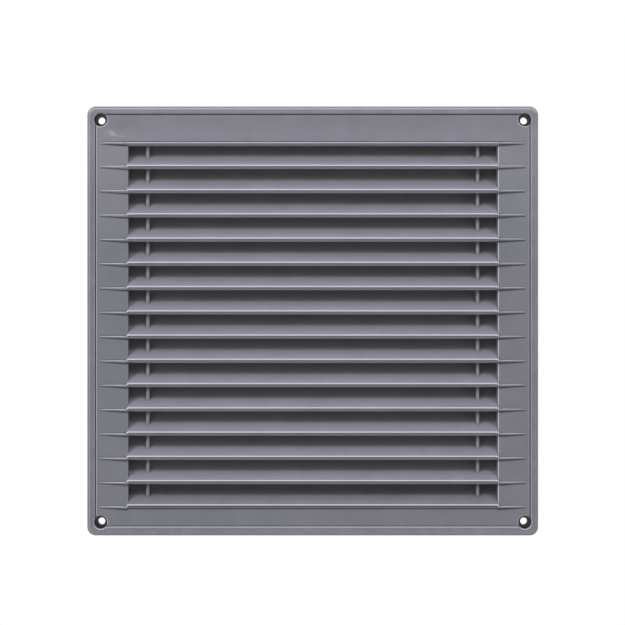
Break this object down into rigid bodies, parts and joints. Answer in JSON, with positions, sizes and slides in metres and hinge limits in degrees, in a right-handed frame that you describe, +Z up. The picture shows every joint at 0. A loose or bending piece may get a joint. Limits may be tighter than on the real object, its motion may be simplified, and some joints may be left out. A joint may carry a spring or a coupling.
{
  "type": "fixed ventilation grille",
  "caption": "Square-cornered plastic wall grille with fixed sloping louvres, end fins, a raised rim and screw holes at its corners.",
  "frame": {"origin": "centre of the four screw holes, on the wall plane that the skirt's back edge lies on", "axes": "+Z up on the wall, +X to the right seen from the front, -Y out of the wall towards the viewer"},
  "size_m": [0.26, 0.0115, 0.2474],
  "materials": {
    "grey_plastic": "satin moulded mid grey with a faint violet tint"
  },
  "bodies": {
    "root": {"grille": "grey_plastic"}
  },
  "joints": []
}
